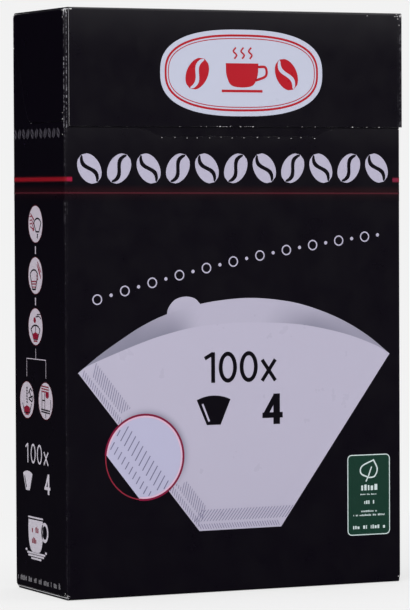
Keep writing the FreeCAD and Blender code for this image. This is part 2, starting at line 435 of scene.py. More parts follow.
def filter_paper(name):
    """Creped filter paper: fine cross ridges, cloudy fibre, and pressed ticks along the seam, their
    grooves darkened with painted shade.
    """
    material, w, shader, place = shading(name)
    where = place["Object"]
    fibre = w.group("board_fibre", Vector=where)
    press_relief_and_shade = w.group("seam_press", Vector=where)["Press"]
    paper = w.blend(w.ramp(fibre["Shade"], 0.25, 0.75), (0.66, 0.65, 0.63), (0.80, 0.80, 0.79))
    # Painted shade: the pressed ticks' grooves are darkened in the paper's colour, on top of their
    # relief.
    paper = w.blend(w.times(press_relief_and_shade, 0.7), paper, (0.47, 0.46, 0.46))
    crepe = w.noise(w.vector("MULTIPLY", where, (1.0, 1.0, 3.0)), 900.0, 2.0)
    height = w.scaled(press_relief_and_shade, -0.00008, w.scaled(crepe, 0.00006, fibre["Height"]))
    w.surface(shader, paper, w.ramp(fibre["Shade"], 0.2, 0.8, 0.86, 0.96), 0.15, height)
    return material


def outward(points, faces):
    """A flat patch with every face anticlockwise: a face whose area comes out negative is turned."""
    corners = points[faces]
    x, y = corners[..., 0], corners[..., 1]
    area = (x * np.roll(y, -1, 1) - y * np.roll(x, -1, 1)).sum(1)
    faces = faces.copy()
    faces[area < 0] = faces[area < 0][:, ::-1]
    return faces


def grid_quads(rows, count, closed=False):
    """Corner numbers of the quads between rows of points, count to a row. Quad i of row j joins
    points i and i + 1 with those above them, and a closed row ends where it began."""
    column = np.arange(count if closed else count - 1)
    here = (np.arange(rows)[:, None] * count + column).ravel()
    beside = (np.arange(rows)[:, None] * count + (column + 1) % count).ravel()
    return np.stack([here, beside, beside + count, here + count], 1)


def between(first, second, rows=1, closed=False):
    """The strip between two curves: point (i, j) is first[i] + (second[i] - first[i]) * j / rows."""
    share = np.linspace(0.0, 1.0, rows + 1)[:, None, None]
    points = (first * (1 - share) + second * share).reshape(-1, 2)
    return points, [outward(points, grid_quads(rows, len(first), closed))]


def filled(outline, middle=None):
    """An outline filled with triangles that meet at its middle."""
    outline = np.asarray(outline, float)
    middle = outline.mean(0) if middle is None else np.asarray(middle, float)
    points = np.vstack([outline, middle])
    count = len(outline)
    edge = np.arange(count)
    fan = np.stack([edge, (edge + 1) % count, np.full(count, count)], 1)
    return points, [outward(points, fan)]


def arc(middle, radius, start, end, count=33):
    """Points at middle + radius * (cos a, sin a), with a in degrees from start to end."""
    a = np.radians(np.linspace(start, end, count))
    radius = np.broadcast_to(radius, 2)
    return np.stack([middle[0] + radius[0] * np.cos(a), middle[1] + radius[1] * np.sin(a)], 1)


def circle(middle, radius, count=48):
    """A closed circle or ellipse, its first point not repeated."""
    return arc(middle, radius, 0.0, 360.0 * (count - 1) / count, count)


def ring(middle, radius, width, count=48):
    """A round line: the strip between two circles, width apart."""
    radius = np.broadcast_to(np.asarray(radius, float), 2)
    inner, outer = circle(middle, radius - width / 2, count), circle(middle, radius + width / 2, count)
    return between(inner, outer, 1, True)


def stroke(path, width):
    """A ribbon along a path: each point goes half the width to both sides, along the mean normal
    of its two neighbours, lengthened at a corner so that the ribbon keeps its width."""
    path = np.asarray(path, float)
    step = np.diff(path, axis=0)
    step = step / np.linalg.norm(step, axis=1)[:, None]
    before = np.vstack([step[:1], step])
    after = np.vstack([step, step[-1:]])
    along = before + after
    along = along / np.linalg.norm(along, axis=1)[:, None]
    side = np.stack([-along[:, 1], along[:, 0]], 1)
    lengthen = 1.0 / np.maximum((along * after).sum(1), 0.4)
    half = (np.broadcast_to(width, len(path)) / 2 * lengthen)[:, None]
    return between(path - side * half, path + side * half)


def smooth(points, count=32):
    """A curve through a few points: Catmull-Rom, with the end points repeated."""
    points = np.asarray(points, float)
    padded = np.vstack([2 * points[0] - points[1], points, 2 * points[-1] - points[-2]])
    t = np.linspace(0, len(points) - 1, count)
    span = np.minimum(t.astype(int), len(points) - 2)
    u = (t - span)[:, None]
    a, b, c, d = (padded[span + k] for k in range(4))
    return 0.5 * (2 * b + (c - a) * u + (2 * a - 5 * b + 4 * c - d) * u ** 2
                  + (3 * b - a - 3 * c + d) * u ** 3)


def rounded(left, low, right, high, radius, count=7):
    """A rectangle's outline with a quarter circle at each corner."""
    parts = [arc((x, y), radius, start, start + 90, count) for x, y, start in (
        (right - radius, high - radius, 0), (left + radius, high - radius, 90),
        (left + radius, low + radius, 180), (right - radius, low + radius, 270))]
    return np.vstack(parts)


def turned(points, degrees, middle=(0.0, 0.0)):
    """Points turned about a middle, anticlockwise."""
    a = math.radians(degrees)
    spin = np.array([[math.cos(a), math.sin(a)], [-math.sin(a), math.cos(a)]])
    return (np.asarray(points, float) - middle) @ spin + middle


def on_front(flat, lift):
    """Flat points (x, z) laid on the body's front, lift outwards."""
    return np.stack([flat[:, 0], np.full(len(flat), -HALF_DEPTH - lift), flat[:, 1]], 1)


def on_flap(flat, lift):
    """Flat points (x, z) laid on the lid's proud front layer, lift outwards."""
    return np.stack([flat[:, 0], np.full(len(flat), -FLAP_FRONT - lift), flat[:, 1]], 1)


def on_left(flat, lift):
    """Flat points (u, z) laid on the left side, u running from the back to the front fold."""
    return np.stack([np.full(len(flat), -HALF_WIDTH - lift), -flat[:, 0], flat[:, 1]], 1)


SHEETS = {}
BODY_UNDER = {on_front: "carton", on_left: "carton", on_flap: "lid"}


def collect(ink, body, points, faces, tone):
    """Keeps a printed patch for the mesh of its ink and body."""
    SHEETS.setdefault((ink, body), []).append((points, faces, tone))


def lay(ink, panel, patches, height=1, tone=0.0):
    """Collects flat patches that are printed on one panel. Height counts the films below."""
    for k, (points, faces) in enumerate(patches):
        lift = FIRST_FILM + FILM * height + PATCH_STEP * (k % PATCH_CYCLE)
        shade = np.broadcast_to(tone, len(points)).astype(float)
        collect(ink, BODY_UNDER[panel], panel(points, lift), faces, shade)


def add_piece(name, points, faces, material):
    """A mesh object at the origin, from points in mm."""
    mesh = bpy.data.meshes.new(name)
    mesh.from_pydata((points * MM).tolist(), [], faces)
    mesh.materials.append(material)
    piece = bpy.data.objects.new(name, mesh)
    bpy.context.collection.objects.link(piece)
    return piece


def make_mesh(name, parts, material, body):
    """One mesh from many parts, each with its points in mm, its faces and its tone."""
    vertices, faces, tones, start = [], [], [], 0
    for points, blocks, tone in parts:
        vertices.append(points)
        tones.append(tone)
        for block in blocks:
            faces.extend((block + start).tolist())
        start += len(points)
    piece = add_piece(name, np.vstack(vertices), faces, material)
    tone = piece.data.attributes.new("tone", "FLOAT", "POINT")
    tone.data.foreach_set("value", np.concatenate(tones))
    if body is not None:
        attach(piece, body)
    return piece


def bean(middle, long, short, lean):
    """A coffee bean: two halves of an ellipse, parted by an S-shaped slit along its length. The
    slit's middle is a sine of the place along the bean, and each half ends at the rim."""
    t = np.linspace(-1, 1, 17)
    slit = 0.30 * short * np.sin(np.pi * t)
    gap = 0.085 * short * 2 * (1.15 - t ** 2 * 0.4)
    rim = short * np.sqrt(np.maximum(1 - t ** 2, 0))
    curves = [np.stack([t * long, across], 1)
              for across in (-rim, (slit - gap).clip(-rim, rim), (slit + gap).clip(-rim, rim), rim)]
    halves = between(*curves[:2]), between(*curves[2:])
    return [(turned(points, lean) + middle, faces) for points, faces in halves]


def digit_one(left, low, size, width):
    """A figure one: an upright bar with a short flag."""
    bar = left + 0.36 * size
    flag = [(bar - 0.30 * size, low + 0.80 * size), (bar, low + size - width * 0.30)]
    return [stroke(flag, width * 0.9), stroke([(bar, low), (bar, low + size)], width)]


def digit_zero(left, low, size, width):
    """A figure nought: the strip between two ellipses, two thirds as wide as it is tall."""
    wide = 0.66
    radius = ((wide * size - width) / 2, (size - width) / 2 + 0.01 * size)
    return [ring((left + wide * size / 2, low + size / 2), radius, width, 40)]


def digit_four(left, low, size, width):
    """A figure four: a slope, a crossbar and an upright."""
    bar = left + 0.52 * size
    foot = low + 0.30 * size
    slope = [(bar - 0.12 * width, low + size - 0.25 * width), (left + 0.10 * size, foot)]
    crossbar = [(left, foot), (left + 0.74 * size, foot)]
    upright = [(bar, low), (bar, low + size)]
    return [stroke(slope, width * 0.74), stroke(crossbar, width * 0.76), stroke(upright, width)]


def hundred(left, low, size, width, first, step):
    """The number 100 in thin figures: the noughts stand first, and first + step, from the left."""
    patches = digit_one(left, low, size, width)
    patches += digit_zero(left + first, low, size, width)
    return patches + digit_zero(left + first + step, low, size, width)


def times_sign(left, low, size, width, wide=0.85):
    """A multiplication sign: two crossing strokes."""
    a, b = (left, low), (left + wide * size, low + size)
    return [stroke([a, b], width), stroke([(a[0], b[1]), (b[0], a[1])], width)]


def fan_sign(left, low, size, hollow):
    """A small solid filter: a fan with a lighter seam line let into its left side."""
    top = arc((left + 0.62 * size, low - 0.55 * size), 1.5 * size, 115, 65, 15)
    top = top + (0.0, low + size - top[:, 1].max())
    foot = np.stack([np.linspace(left + 0.36 * size, left + 0.88 * size, 15), np.full(15, low)], 1)
    seam = [(left + 0.20 * size, low + 0.72 * size), (left + 0.45 * size, low + 0.12 * size)]
    return [between(foot, top, 4)], [stroke(seam, hollow)]


def small_marks(left, right, middle, tall, seed, gap, bold=1.0):
    """A line of small upright marks from left to right, of uneven width and height. The gap between
    two is a share of the height, and every sixth or so is wider."""
    dice = seeded(seed)
    wide = dice.uniform(0.25, 0.6, 200) * tall * bold
    space = np.where(dice.uniform(0, 1, 200) < 0.16, 1.1, gap) * tall
    start = left + np.concatenate([[0.0], np.cumsum(wide + space)[:-1]])
    keep = start + wide < right
    high = tall * dice.uniform(0.62, 1.0, 200)
    foot = middle - tall / 2
    return [filled([(a, foot), (a + b, foot), (a + b, foot + c), (a, foot + c)])
            for a, b, c in zip(start[keep], wide[keep], high[keep])]


def bean_row(first, last, height, long, short, lean):
    """Eleven beans in a row, leaning to the left and to the right by turns."""
    row = [bean((x, height), long, short, 90 - lean if k % 2 else 90 + lean)
           for k, x in enumerate(np.linspace(first, last, 11))]
    return sum(row, [])


def front_print():
    """The front's pale ink: a row of beans, and an arc of rings and dots by turns."""
    lay("pale", on_front, bean_row(-56.4, 56.2, 150.1, 5.7, 4.1, 32))
    along = np.linspace(0, 1, 22)
    x = -53.7 + 110.2 * along
    z = 104.5 + 31.0 * along - 9.5 * along ** 2
    rings = [ring((a, b), 1.65, 0.45, 24) for a, b in zip(x[::2], z[::2])]
    dots = [filled(circle((a, b), 0.62, 16)) for a, b in zip(x[1::2], z[1::2])]
    lay("pale", on_front, rings + dots)


def filter_picture():
    """The plain picture of one filter: a back layer with a tab, and a front layer cut lower. Each is
    the strip between two curves. The back layer's tone rises from x -12 to -27 on the left and from
    x 8 to 30 on the right, and it fades upwards."""
    left, right = (-61.1, 79.1), (61.3, 83.0)
    base_left, base_right = (-14.9, 22.0), (17.3, 22.2)
    back = smooth([left, (-53.0, 85.1), (-44.8, 90.3), (-36.8, 94.9), (-27.2, 98.9), (-14.1, 102.3),
                   (-3.5, 103.7), (5.5, 104.1), (15.0, 103.4), (24.5, 101.8), (34.0, 98.9),
                   (43.5, 94.9), (52.8, 89.5), right], 61)
    fore = smooth([left, (-56.2, 82.0), (-36.9, 89.1), (-25.6, 92.3), (-15.8, 94.2), (-3.0, 95.3),
                   (9.0, 95.3), (25.7, 94.2), (42.7, 90.7), (55.5, 86.2), right], 61)
    rows = 6
    points, faces = between(fore, back, rows)
    place = points[:, 0]
    shade_left = np.clip((-12.0 - place) / 15.0, 0, 1)
    shade_left = shade_left ** 2 * (3 - 2 * shade_left)
    shade_right = 0.95 * np.clip((place - 8.0) / 22.0, 0, 1)
    shade_right = shade_right * (1 - 0.2 * np.clip((place - 30.0) / 16.0, 0, 1))
    fade_left = 0.7 - 0.6 * np.clip((-22.0 - place) / 18.0, 0, 1)
    fade_right = 0.8 - 0.75 * np.clip((place - 28.0) / 22.0, 0, 1)
    up = np.repeat(np.linspace(0, 1, rows + 1), len(fore))
    tone = shade_left * (1 - fade_left * up) + shade_right * (1 - fade_right * up)
    tone = np.maximum(tone, 0.08)
    lay("paper", on_front, [(points, faces)], 1, tone)
    tab = smooth([(-27.2, 98.5), (-26.5, 101.2), (-23.9, 104.0), (-20.0, 105.0), (-16.4, 104.3),
                  (-14.1, 102.2)], 25)
    tab = np.vstack([tab, [(-13.6, 99.0), (-27.2, 95.0)]])
    points, faces = filled(tab, (-20.5, 99.6))
    across, high = points.T
    tone = 0.42 * np.clip((-14.0 - across) / 12.0, 0, 1) * np.clip((104.0 - high) / 5.0, 0.25, 1)
    tone = np.maximum(tone, 0.08)
    lay("paper", on_front, [(points, faces)], 0.6, tone)
    share = np.linspace(0, 1, 61)[:, None]
    foot = np.array(base_left) * (1 - share) + np.array(base_right) * share
    points, faces = between(foot, fore, 12)
    lay("paper", on_front, [(points, faces)], 1)


def crimps(start, end, offset, size, count, lean):
    """A row of slanted ticks along a seam, this far inwards of it: tick i starts at the i-th
    share of the seam, and leans along it by lean for each mm of its length."""
    start, end = np.array(start), np.array(end)
    along = (end - start) / np.linalg.norm(end - start)
    inward = np.array([-along[1], along[0]])
    base = start + inward * offset + np.linspace(0, 1, count)[:, None] * (end - start)
    tick = inward * size + along * lean * size
    lay("crimp", on_front, [stroke([point, point + tick], 0.24) for point in base], 2, 0.9)


def detail_ring():
    """The round magnified detail: a red ring, and inside it the seam's ticks at about twice the size.
    The filter's edge cuts the circle at cut_in and cut_out, and the board shows below it."""
    middle, radius = np.array([-36.0, 48.9]), 14.6
    cut_in, cut_out = (-50.1, 50.0), (-38.1, 34.6)
    first, last = (math.degrees(math.atan2(v - middle[1], u - middle[0])) for u, v in (cut_out, cut_in))

    def band(inner, outer, start, end, count=49):
        return [between(*(arc(middle, radius + more, start, end, count) for more in (inner, outer)))]

    lay("lens", on_front, [filled(arc(middle, radius, first, last, 49), (-33.0, 52.0))], 3)
    lay("black", on_front, [filled(arc(middle, radius, last, first + 360, 25))], 3)
    lay("ring", on_front, band(0.0, 0.72, first, last), 5)
    lay("thin_ring", on_front, band(0.05, 0.5, last, first + 360, 25), 5)
    lay("halo", on_front, band(-0.6, 0.05, first, last), 4)
    seam = np.array(cut_out) - cut_in
    along = seam / np.linalg.norm(seam)
    inward = np.array([-along[1], along[0]])
    for offset, size, low, high in ((2.1, 3.0, -0.28, 1.36), (6.9, 5.9, -0.62, 1.5)):
        patches = []
        for share in np.arange(low, high, 0.1154):
            base = np.array(cut_in) + seam * share + inward * offset
            tick = base + np.linspace(0, 1, 13)[:, None] * (inward * size * 0.93 - along * size * 0.36)
            tick = tick[np.hypot(*(tick - middle).T) < radius - 0.9]
            if len(tick) > 4:
                patches.append(stroke(tick[[0, -1]], 0.36))
        lay("crimp", on_front, patches, 4.2, 0.95)
    sweep = np.radians(np.linspace(-38, 122, 49))
    ray = np.stack([np.cos(sweep), np.sin(sweep)], 1)
    fade = np.sin(np.linspace(0, np.pi, 49)) ** 0.5
    points, faces = between(middle + ray * (radius + 0.5), middle + ray * (radius + 3.4), 5)
    tone = np.concatenate([fade * level for level in (1.0, 0.72, 0.44, 0.22, 0.08, 0.0)])
    lay("paper", on_front, [(points, faces)], 2.6, tone)


def numbers():
    """100 in thin figures over a bold 4, as on the filter's picture."""
    lay("black", on_front, hundred(-13.2, 74.3, 10.8, 1.5, 6.1, 8.2), 2)
    lay("black", on_front, times_sign(9.95, 74.5, 7.5, 1.35, 0.70), 2)
    solid, seam = fan_sign(-15.6, 59.4, 10.4, 0.7)
    lay("black", on_front, solid, 2)
    lay("paper", on_front, seam, 3)
    lay("black", on_front, digit_four(10.0, 58.9, 10.9, 2.6), 2)


def green_panel():
    """A small green panel with a pale border, a leaf, and rows of small bars."""
    lay("white", on_front, [filled(rounded(44.0, 17.5, 61.3, 46.7, 1.7))])
    lay("green", on_front, [filled(rounded(44.35, 17.85, 60.95, 46.35, 1.35))], 2)
    side = smooth([(52.6, 38.3), (49.5, 39.9), (49.9, 42.5), (54.6, 44.6)], 15)
    other = smooth([(54.6, 44.6), (56.1, 41.4), (55.0, 38.7), (52.6, 38.3)], 15)
    stalk = [(51.5, 36.9), (52.6, 39.1), (53.8, 42.2)]
    lay("white", on_front, [stroke(np.vstack([side, other[1:]]), 0.5), stroke(stalk, 0.45)], 3)
    rows = [(49.6, 56.4, 34.8, 2.2), (49.2, 56.4, 32.3, 0.5), (50.8, 55.2, 29.4, 1.3),
            (49.6, 56.2, 26.2, 0.7), (46.4, 59.2, 24.8, 0.7), (46.2, 59.6, 20.5, 1.4)]
    for k, (a, b, v, tall) in enumerate(rows):
        lay("white", on_front, small_marks(a, b, v, tall, 30 + k, 0.24), 3)


def badge():
    """An oval plaque on the flap with a fine red line, and a cup between two beans. The oval is
    half * |cos a|^0.78 across and half * |sin a|^0.78 up, each with the sign of its cosine or sine."""
    middle, half = np.array([2.3, 183.8]), np.array([31.8, 15.3])
    a = np.radians(np.linspace(0, 360, 97)[:-1])
    shape = np.stack([np.sign(way) * np.abs(way) ** 0.78 for way in (np.cos(a), np.sin(a))], 1)
    lay("badge", on_flap, [filled(middle + shape * half)])
    for inset, width in ((1.7, 0.75), (3.0, 0.3)):
        outer = middle + shape * (half - inset)
        inner = middle + shape * (half - inset - width)
        lay("red", on_flap, [between(inner, outer, 1, True)], 2)
    cup = smooth([(-6.4, 3.4), (-6.0, -1.2), (-3.6, -4.7), (3.6, -4.7), (6.0, -1.2), (6.4, 3.4)], 25)
    lay("red", on_flap, [filled(cup + middle, middle)], 2)
    handle = smooth([(6.2, 2.2), (9.2, 2.0), (9.3, -1.0), (5.4, -2.6)], 15) + middle
    saucer = np.array([(-8.0, -6.4), (8.0, -6.4)]) + middle
    lay("red", on_flap, [stroke(handle, 0.9), stroke(saucer, 0.9)], 2)
    for x in (-3.0, 0.0, 3.0):
        steam = smooth([(x, 5.0), (x + 0.9, 6.3), (x - 0.4, 7.6), (x + 0.6, 9.0)], 11) + middle
        lay("red", on_flap, [stroke(steam, 0.6)], 2)
    for x, lean in ((-17.5, 62), (17.5, 118)):
        lay("red", on_flap, bean(middle + (x, -0.4), 6.0, 4.1, lean), 2)


def wrapped(first, last, levels, lift, tones=None, lean=0.0):
    """A stripe round the carton from first to last along the front, by way of the other sides.
    The path is the rounded outline in plan, widened by lift. Levels are its rows from the lowest
    up, each with its tone, and the stripe rises by lean for each mm to the left."""
    r = FOLD + lift
    out, away = HALF_WIDTH - FOLD, HALF_DEPTH - FOLD
    corner = [(out, -away, -90), (out, away, 0), (-out, away, 90), (-out, -away, 180)]
    plan = [np.array([(first, -HALF_DEPTH - lift)])]
    plan += [arc((x, y), r, start, start + 90, 7) for x, y, start in corner]
    plan = np.vstack(plan + [np.array([(last, -HALF_DEPTH - lift)])])
    rise = -lean * plan[:, 0]
    points = np.vstack([np.column_stack([plan, z + rise]) for z in levels])
    tones = np.zeros(len(levels)) if tones is None else np.asarray(tones, float)
    return points, [grid_quads(len(levels) - 1, len(plan))], np.repeat(tones, len(plan))


def stripes():
    """A red stripe that stops beside the beans, and a fine dark red line right round, in a faint glow.
    On the front too the stripe's middle lies at STRIPE - STRIPE_RISE * x. The stripe's one red carries
    painted light and shade: a lit red on the front's left end, and shaded reds on the right end and
    round the sides and back."""
    rows = np.array([-1.05, -0.75, -0.5, 0.5, 0.75, 1.05])
    tones = (1.0, 0.75, 0.0, 0.0, 0.75, 1.0)
    band = wrapped(STRIPE_END, -STRIPE_END, STRIPE + rows, 0.05, tones, STRIPE_RISE)
    collect("side_red", "carton", *band)
    stub_tones = np.repeat((1.0, 0.75, 0.0, 0.0, 0.0, 0.0, 0.75, 1.0), 2)
    # Painted light and shade: the left end takes the stripe's lit red and the right end a shaded red.
    for ink, ends in (("left_red", (-STRIPE_END, -62.9)), ("right_red", (62.7, STRIPE_END))):
        low, high = (np.array([(x, STRIPE - STRIPE_RISE * x + rise) for x in ends])
                     for rise in (rows[0], rows[-1]))
        lay(ink, on_front, [between(low, high, 7)], 1, stub_tones)
    levels = (138.6, 140.3, 141.3, 142.4, 144.2)
    tones = (0.0, 0.35, 1.0, 0.9, 0.0)
    collect("ember", "carton", *wrapped(0.0, 0.0, levels, 0.03, tones, LINE_RISE))
    collect("dim_red", "carton", *wrapped(0.0, 0.0, (141.05, 141.6), 0.07, None, LINE_RISE))


def side_print():
    """The left side: five round pictures joined by bars, the numbers, a cup and a fine line."""
    rounds = [(-3.0, 130.7), (-3.3, 112.5), (-3.5, 94.4), (-11.9, 68.1), (5.5, 68.5)]
    for u, v in rounds:
        lay("side", on_left, [filled(circle((u, v), 6.5, 40))])
        lay("dark_red", on_left, [ring((u, v), 6.62, 0.28, 40)], 2)
    bars = [[(u, high), (u, low)]
            for u, high, low in ((-3.2, 122.9, 120.1), (-3.4, 104.7, 102.0), (-3.5, 86.6, 82.9))]
    fork = [(-12.0, 76.4), (-12.0, 82.9), (5.8, 82.9), (5.8, 76.4)]
    lay("side", on_left, [stroke(bar, 0.8) for bar in bars[:2]] + [stroke(bars[2], 0.30)])
    lay("side", on_left, [stroke(fork, 0.30)])
    for k, (u, v) in enumerate(rounds):
        side_picture(k, np.array([u, v]))
    lay("side_white", on_left, hundred(-14.0, 45.8, 6.9, 0.72, 5.2, 5.9))
    lay("side_white", on_left, times_sign(3.5, 45.9, 4.6, 0.72))
    solid, seam = fan_sign(-16.0, 35.9, 6.9, 0.6)
    lay("side_white", on_left, solid)
    lay("black", on_left, seam, 2)
    lay("side_white", on_left, digit_four(3.9, 35.6, 7.2, 1.45))
    cup_picture()
    lay("grey", on_left, bean_row(-21.6, 18.4, 162.6, 1.9, 1.25, 30))
    lay("small", on_left, small_marks(-21.4, 18.4, 4.3, 2.0, 24, 0.22, 0.34))


def side_picture(kind, at):
    """One round picture of making coffee, in fine lines: folding the seam, opening the filter,
    spooning, pouring, and the jug below. Offsets are in mm from the circle's middle."""
    def drawn(paths, width):
        return [stroke(np.array(path) + at, width) for path in paths]

    def fan(shift, top, foot, half):
        brow = ((-1.0, 1.4), (-0.5, 0.3), (0.0, 0.0), (0.5, 0.3), (1.0, 1.4))
        brow = smooth([(share * half, top - drop) for share, drop in brow], 17)
        cone = [(-1.0, top - 1.4), (-0.42, foot), (0.42, foot), (1.0, top - 1.4)] * np.array((half, 1.0))
        return drawn([brow + (shift, 0.0), cone + (shift, 0.0)], 0.56)

    if kind == 0:
        dark = fan(1.8, 2.0, -2.7, 3.4) + drawn([[(1.9, -3.4), (1.6, -5.0)]], 0.8)
        deep = drawn([[(-5.3, v), (-3.4, v + 0.3), (-1.6, v - 1.3)] for v in (2.6, 1.2, 0.0)], 0.42)
        deep += drawn([[(-4.6, 3.8), (-1.4, 1.6)], [(-4.9, -0.9), (-1.6, -2.0)]], 0.4)
        deep += [filled(circle(at + (-1.9, -1.9), (0.7, 0.6), 12))]
    elif kind == 1:
        dark = fan(-1.4, 2.0, -4.9, 3.5)
        deep = drawn([[(1.6 + k, 4.0 - 0.9 * k), (3.8 + 0.7 * k, 0.6 - 0.9 * k)]
                      for k in (0.0, 0.9, 1.8)], 0.42)
        deep += drawn([[(2.0, 4.9), (5.3, 1.2)], [(0.9, 0.4), (2.3, -1.6)]], 0.42)
        deep += drawn([[(-3.9, v), (1.1, v)] for v in (-2.1, -3.0)] + [[(-3.1, -4.1), (0.3, -4.1)]], 0.4)
    elif kind == 2:
        dark = fan(0.0, 0.5, -4.4, 4.2)
        dark += drawn([[(0.0, 0.4), (0.0, -2.0)], [(0.2, 3.5), (3.2, 3.8), (5.4, 2.9)]], 0.4)
        dark += drawn([[(1.2, 4.2), (5.0, 4.6)]], 0.35)
        deep = [filled(circle(at + (-0.7, 2.3), (1.1, 1.0), 14))]
    elif kind == 3:
        dark = drawn([[(-4.2, -1.2), (-2.5, -4.6), (2.5, -4.6), (4.2, -1.2)]], 0.42)
        dark += drawn([[(0.0, v), (0.0, v - 0.7)] for v in (4.6, 3.6, 2.6, 1.6, 0.6, -0.4)], 1.0)
        dark += drawn([[(1.3, 2.4), (3.2, 4.2), (4.9, 3.2)], [(2.0, 3.4), (4.4, 0.6)],
                       [(1.6, 0.7), (5.6, 1.6)], [(1.8, 0.4), (4.6, -0.5), (5.9, 1.2)]], 0.5)
        deep = []
    else:
        dark = drawn([[(-3.4, 3.2), (-3.4, -3.0)], [(-3.4, 0.2), (-0.8, 0.2)],
                      [(-0.8, 3.0), (-0.8, -3.0)], [(4.6, 0.6), (4.8, -3.0)],
                      [(0.0, -4.4), (0.0, -6.0)]], 0.4)
        dark += drawn([[(-4.2, -3.0), (3.9, -3.4)], [(-4.2, -3.8), (3.9, -4.2)]], 0.5)
        deep = drawn([[(-3.9, v), (2.9, v - 0.3)] for v in (5.2, 4.3, 3.4)], 0.42)
        deep += [filled(circle(at + (1.5, 2.2), (1.5, 1.2), 16))]
    if kind in (2, 3):
        grounds = np.array([(-2.8, -2.7), (0.0, -1.9), (2.8, -2.7), (2.3, -4.4), (-2.3, -4.4)])
        deep += [filled(grounds + at)] + drawn([[(-1.7, -5.1), (1.7, -5.1)]], 0.5)
    lay("black", on_left, dark, 2)
    lay("maroon", on_left, deep, 3)


def cup_picture():
    """A tall cup with a rim line, two short rows of marks, an ear and a saucer of three bars."""
    left = smooth([(-11.3, 25.7), (-11.3, 21.6), (-10.7, 17.6), (-9.1, 15.0), (-6.6, 14.0)], 21)
    right = np.stack([-9.2 - left[:, 0], left[:, 1]], 1)
    lay("side_white", on_left, [between(left, right, 4)])
    lay("side_white", on_left, [stroke([(-11.5, 26.5), (2.2, 26.5)], 0.55)])
    lay("side_white", on_left, [ring((3.9, 21.9), (2.7, 3.0), 1.15, 28)])
    for a, b, v in ((-12.6, 4.2, 13.8), (-11.6, 3.0, 12.9), (-8.8, 0.6, 11.9)):
        lay("side_white", on_left, [stroke([(a, v), (b, v)], 0.68)])
    lay("side_white", on_left, [filled(circle((u, 14.7), (0.9, 0.45), 12)) for u in (-13.3, 4.9)])
    for v, seed in ((22.3, 41), (18.4, 42)):
        lay("maroon", on_left, small_marks(-8.0, -1.2, v, 2.2, seed, 0.14, 0.7), 2)


def flakes(middles, size, panel, seed):
    """Torn flecks: six-sided scraps about each middle, each corner at its own distance."""
    count = len(middles)
    dice = seeded(seed)
    reach = size * dice.uniform(0.35, 1.0, (count, 6))
    angle = np.radians(np.arange(6) * 60.0) + dice.uniform(0, 6, (count, 1))
    way = np.stack([np.cos(angle) * 1.5, np.sin(angle) * 0.6], 2)
    rim = middles[:, None, :] + reach[..., None] * way
    points = np.concatenate([rim, middles[:, None, :]], 1).reshape(-1, 2)
    base = np.arange(count)[:, None, None] * 7
    fan = np.stack([np.arange(6), (np.arange(6) + 1) % 6, np.full(6, 6)], 1)[None]
    faces = (base + fan).reshape(-1, 3)
    return panel(points, 0.05), [outward(points, faces)], np.zeros(len(points))


def tear_flecks():
    """Bare fibre where the perforation's nicks broke, thickest over the middle of the flap, and
    specks at a few worn corners: first the lid's, then the body's."""
    dice = seeded(4)
    x = np.concatenate([dice.uniform(-15.5, 6, 17), (-22.1, 20.2, 26.0, 31.2, 52.1)])
    small = np.stack([x, FLAP_LOW + dice.uniform(-0.05, 0.1, len(x))], 1)
    x = np.arange(-28.4, 33.0, 4.55)
    x = x + dice.uniform(-0.5, 0.5, len(x))
    nicks = np.stack([x, 160.95 + dice.uniform(-0.3, 0.15, len(x))], 1)
    large = [(-6.4, 164.85), (6.5, 164.85), (46.2, 164.8), (56.9, 164.8)]
    top = [(52.4, 204.9), (63.6, 204.8), (64.9, 203.9), (65.3, 201.7)]
    fold = [(22.5, 205.0), (22.8, 202.5), (22.4, 169.4), (22.5, 167.3)]
    low_side = [(22.4, 2.3), (21.9, 1.6), (22.3, 162.0)]
    lid = [(small, 0.19, on_flap, 5), (large, 0.33, on_flap, 7), (top, 0.25, on_flap, 10),
           ([(-63.3, 205.35)], 0.45, on_flap, 13), (fold, 0.42, on_left, 12)]
    body = [(nicks, 0.23, on_front, 6), ([(64.8, 1.9), (-64.9, 1.5)], 0.32, on_front, 8),
            (low_side, 0.36, on_left, 9)]
    return [[flakes(np.array(middles), *settings) for middles, *settings in group]
            for group in (lid, body)]


def tear_seam():
    """A thin closed strip of the body's black board on its edge along the front, which fills most of the
    0.4 mm slit: painted shade, a dark band where the tear line lies. Its section is a rectangle of 0.46
    by 0.33 mm."""
    path = np.array([(-64.9, FRONT_TEAR), *THUMB, (64.9, FRONT_TEAR)])
    n = len(path)
    low, high = path + (0.0, -0.005), path + (0.0, 0.33)
    near, far = -HALF_DEPTH + 0.01, -HALF_DEPTH + 0.47
    points = np.vstack([np.insert(line, 1, depth, axis=1)
                        for line, depth in ((low, near), (low, far), (high, far), (high, near))])
    k = np.arange(n - 1)
    walls = [np.stack([a * n + k, b * n + k, b * n + k + 1, a * n + k + 1], 1)
             for a, b in ((0, 1), (1, 2), (2, 3), (3, 0))]
    ends = np.array([[0, 3 * n, 2 * n, n], [n - 1, 2 * n - 1, 3 * n - 1, 4 * n - 1]])
    strip = [(points, walls + [ends], np.zeros(4 * n))]
    # Painted shade: the strip's black board closes the tear slit so that it reads dark.
    make_mesh("front_tear_shade_strip", strip, body_board, "carton")


